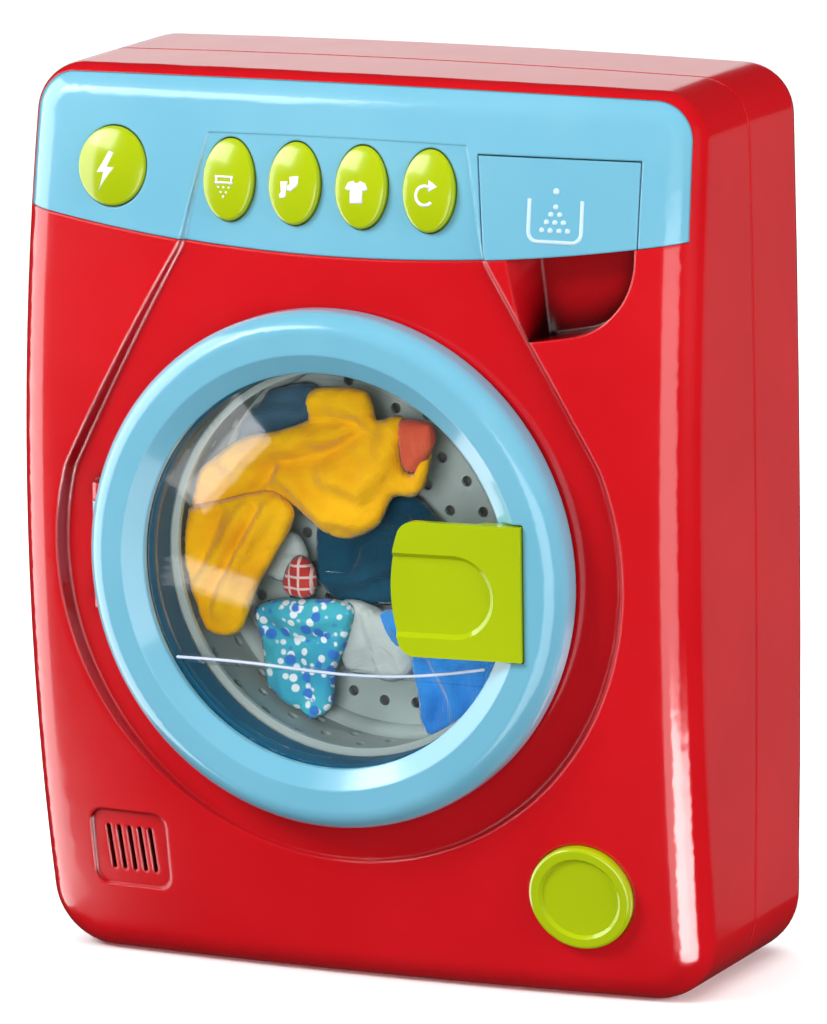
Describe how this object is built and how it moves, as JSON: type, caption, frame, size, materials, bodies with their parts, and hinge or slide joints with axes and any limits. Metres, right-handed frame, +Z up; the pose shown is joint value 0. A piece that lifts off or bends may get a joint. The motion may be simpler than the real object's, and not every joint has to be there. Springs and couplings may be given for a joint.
{
  "type": "toy washing machine",
  "caption": "Free-standing toy washing machine with a hinged porthole door, a turning drum with doll's laundry, sprung push buttons and a sliding soap drawer.",
  "frame": {"origin": "centre of the bounding box at the base", "axes": "+X to the right seen from the front, +Y to the back, +Z up; the door faces -Y"},
  "size_m": [0.202, 0.0994, 0.25],
  "materials": {
    "red_plastic": "glossy moulded plastic",
    "blue_plastic": "glossy moulded plastic",
    "dark_blue_plastic": "glossy moulded plastic",
    "green_plastic": "glossy moulded plastic",
    "white_plastic": "matt moulded plastic",
    "grey_plastic": "satin moulded plastic",
    "black_plastic": "matt moulded plastic",
    "clear_plastic": "clear polished styrene",
    "board_laminate": "phenolic laminate",
    "steel": "zinc plated",
    "brass": "turned",
    "motor_can": "zinc plated can",
    "speaker_steel": "painted frame",
    "cell_jacket": "printed jacket",
    "yellow_cotton": "cotton jersey",
    "print_cotton": "printed cotton",
    "blue_terry": "terry cloth",
    "red_knit": "knit cotton",
    "navy_cotton": "cotton twill"
  },
  "bodies": {
    "cabinet": {"front_shell": "red_plastic", "rear_shell": "red_plastic", "control_panel": "blue_plastic", "circuit_board": "board_laminate", "button_switches": "black_plastic", "board_screws": "steel", "drawer_runner": "white_plastic", "filter_cap": "green_plastic", "hinge_pin": "steel", "door_catch": "white_plastic", "drum_carrier": "white_plastic", "shaft_bush": "brass", "carrier_screws": "steel", "motor": "motor_can", "motor_bracket": "black_plastic", "bracket_screws": "steel", "battery_tray": "black_plastic", "battery_1": "cell_jacket", "battery_2": "cell_jacket", "battery_3": "cell_jacket", "battery_contacts": "steel", "battery_cover": "red_plastic", "cover_screw": "steel", "speaker": "speaker_steel", "shell_screws": "steel"},
    "door": {"door_ring": "blue_plastic", "door_back_ring": "dark_blue_plastic", "door_screws": "steel", "door_window": "clear_plastic", "door_handle": "green_plastic"},
    "drum": {"drum": "grey_plastic", "drum_shaft": "steel", "drum_gear": "white_plastic", "shaft_clip": "steel", "yellow_shirt": "yellow_cotton", "print_cloth": "print_cotton", "blue_towel": "blue_terry", "red_sock": "red_knit", "navy_trousers": "navy_cotton"},
    "pinion": {"motor_pinion": "brass", "motor_shaft": "steel"},
    "power_button": {"power_button": "green_plastic"},
    "rinse_button": {"rinse_button": "green_plastic"},
    "socks_button": {"socks_button": "green_plastic"},
    "shirt_button": {"shirt_button": "green_plastic"},
    "spin_button": {"spin_button": "green_plastic"},
    "drawer": {"detergent_drawer": "blue_plastic"}
  },
  "joints": [
    {"name": "door_hinge", "type": "hinge", "parent": "cabinet", "child": "door", "pos_m": [-0.074, -0.03575, 0.1185], "axis": [0, 0, -1], "range_deg": [0, 100]},
    {"name": "drum_spin", "type": "hinge", "parent": "cabinet", "child": "drum", "pos_m": [-0.0034, 0, 0.117], "axis": [0, 1, 0], "continuous": true},
    {"name": "pinion_spin", "type": "hinge", "parent": "cabinet", "child": "pinion", "pos_m": [0.0341, 0, 0.117], "axis": [0, 1, 0], "continuous": true},
    {"name": "drawer_slide", "type": "slide", "parent": "cabinet", "child": "drawer", "axis": [0, -1, 0], "range_m": [0, 0.038]},
    {"name": "power_press", "type": "slide", "parent": "cabinet", "child": "power_button", "axis": [0, 0.9876, -0.1568], "range_m": [0, 0.0015], "stiffness_N_per_m": 600},
    {"name": "rinse_press", "type": "slide", "parent": "cabinet", "child": "rinse_button", "axis": [0, 0.9876, -0.1568], "range_m": [0, 0.0015], "stiffness_N_per_m": 600},
    {"name": "socks_press", "type": "slide", "parent": "cabinet", "child": "socks_button", "axis": [0, 0.9876, -0.1568], "range_m": [0, 0.0015], "stiffness_N_per_m": 600},
    {"name": "shirt_press", "type": "slide", "parent": "cabinet", "child": "shirt_button", "axis": [0, 0.9876, -0.1568], "range_m": [0, 0.0015], "stiffness_N_per_m": 600},
    {"name": "spin_press", "type": "slide", "parent": "cabinet", "child": "spin_button", "axis": [0, 0.9876, -0.1568], "range_m": [0, 0.0015], "stiffness_N_per_m": 600}
  ],
  "couplings": [
    {"joint": "pinion_spin", "follows": "drum_spin", "ratio": -4}
  ]
}
